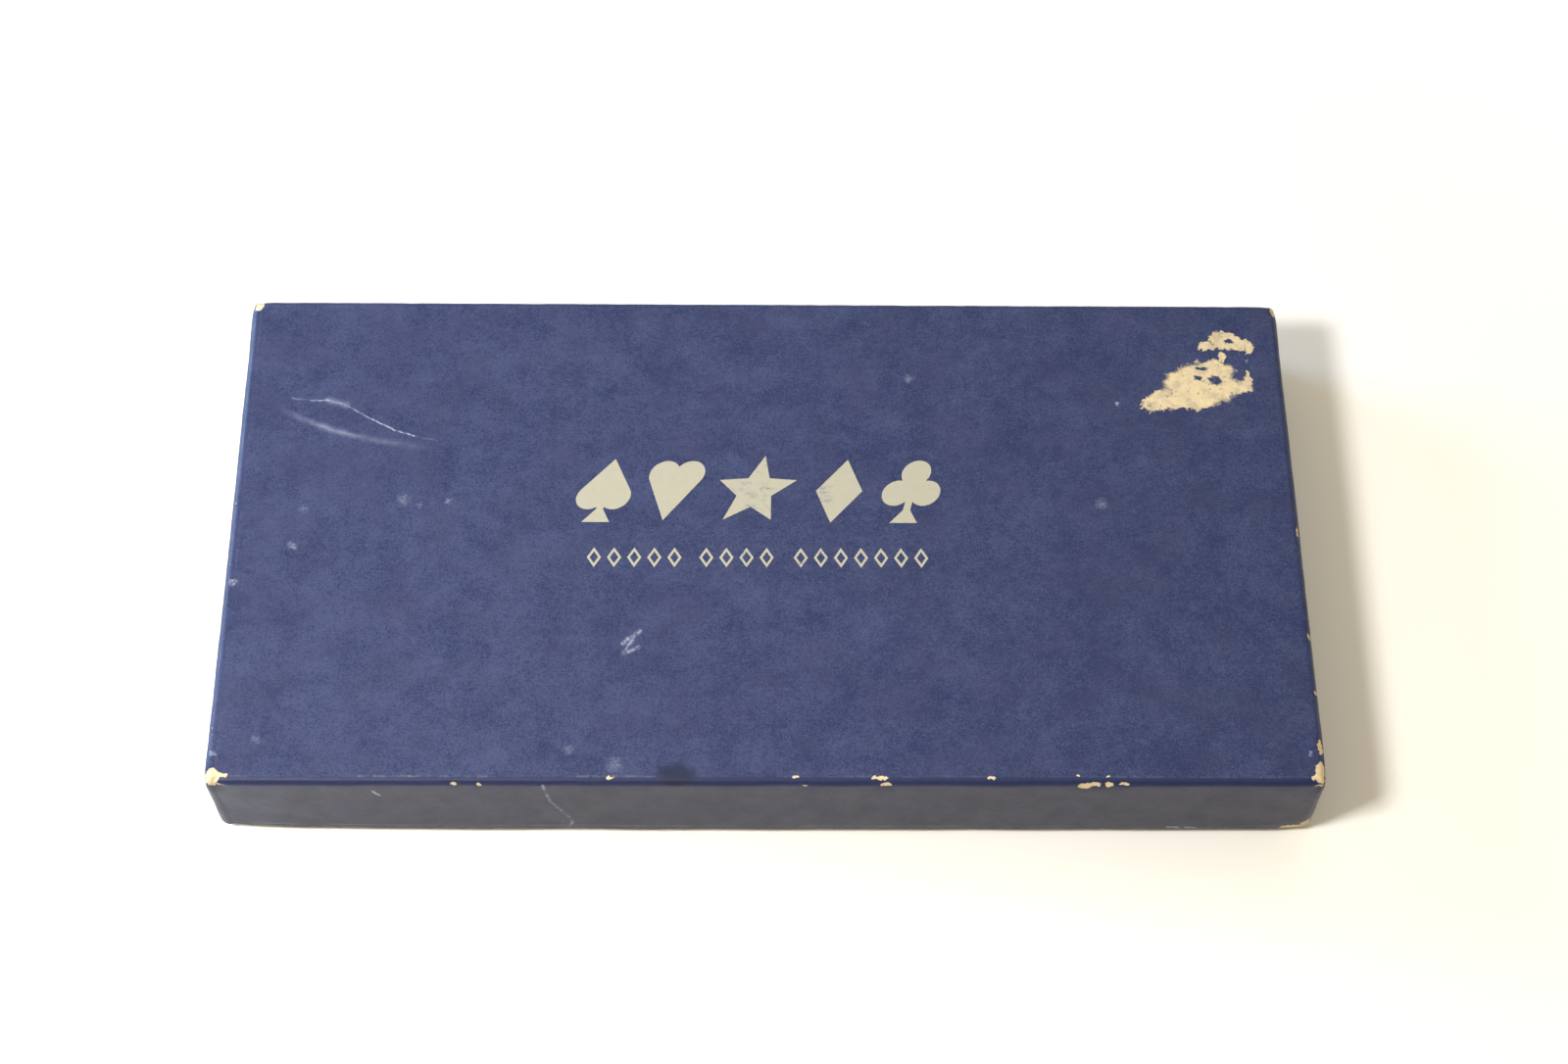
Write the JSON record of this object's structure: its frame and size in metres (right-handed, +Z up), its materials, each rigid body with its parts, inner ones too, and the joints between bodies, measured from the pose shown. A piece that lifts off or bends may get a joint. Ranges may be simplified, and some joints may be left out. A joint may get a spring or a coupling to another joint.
{
  "type": "card deck box",
  "caption": "Rigid paper-covered box with a telescoping lift-off lid, divided tray, packs of playing cards side by side and a stapled rules booklet.",
  "frame": {"origin": "middle of the tray's underside, on the surface the box stands on", "axes": "+Z up out of the box, +X along the long side, -Y towards the long front wall"},
  "size_m": [0.187, 0.096, 0.0196],
  "materials": {
    "greyboard": "bare grey-brown chipboard",
    "stay_paper": "thin kraft tape",
    "blue_wrap": "navy mottled covering paper, satin, worn to cream",
    "lining_paper": "matt off-white lining paper",
    "cream_ink": "opaque cream ink film, slightly worn",
    "tray_paper": "matt cream covering paper",
    "divider_card": "off-white folded card",
    "cards_blue": "smooth coated playing-card stock, blue printed back",
    "cards_red": "smooth coated playing-card stock, red printed back",
    "cards_green": "smooth coated playing-card stock, green printed back",
    "booklet_cover_paper": "thin buff cover stock",
    "booklet_page_paper": "uncoated book paper",
    "staple_wire": "plain steel wire"
  },
  "bodies": {
    "tray": {"tray_board": "greyboard", "tray_corner_stays": "stay_paper", "tray_side_wrap": "tray_paper", "tray_base_paper": "tray_paper", "tray_lining": "lining_paper", "divider_left": "divider_card", "divider_right": "divider_card"},
    "lid": {"lid_board": "greyboard", "lid_corner_stays": "stay_paper", "lid_wrap": "blue_wrap", "lid_lining": "lining_paper", "lid_suit_print": "cream_ink", "lid_rule_print": "cream_ink"},
    "booklet": {"booklet_cover": "booklet_cover_paper", "booklet_pages": "booklet_page_paper", "booklet_staples": "staple_wire"},
    "pack_left": {"pack_left_cards": "cards_blue", "pack_left_jokers": "cards_blue"},
    "pack_middle": {"pack_middle_cards": "cards_red", "pack_middle_jokers": "cards_red"},
    "pack_right": {"pack_right_cards": "cards_green", "pack_right_jokers": "cards_green"}
  },
  "joints": [
    {"name": "lid_lift", "type": "slide", "parent": "tray", "child": "lid", "axis": [0, 0, 1], "range_m": [0, 0.12]},
    {"name": "booklet_lift", "type": "slide", "parent": "tray", "child": "booklet", "axis": [0, 0, 1], "range_m": [0, 0.072]},
    {"name": "pack_left_lift", "type": "slide", "parent": "tray", "child": "pack_left", "axis": [0, 0, 1], "range_m": [0, 0.03]},
    {"name": "pack_middle_lift", "type": "slide", "parent": "tray", "child": "pack_middle", "axis": [0, 0, 1], "range_m": [0, 0.03]},
    {"name": "pack_right_lift", "type": "slide", "parent": "tray", "child": "pack_right", "axis": [0, 0, 1], "range_m": [0, 0.03]}
  ],
  "couplings": [
    {"joint": "booklet_lift", "follows": "lid_lift", "ratio": 0.6},
    {"joint": "pack_left_lift", "follows": "lid_lift", "ratio": 0.25},
    {"joint": "pack_middle_lift", "follows": "lid_lift", "ratio": 0.25},
    {"joint": "pack_right_lift", "follows": "lid_lift", "ratio": 0.25}
  ]
}
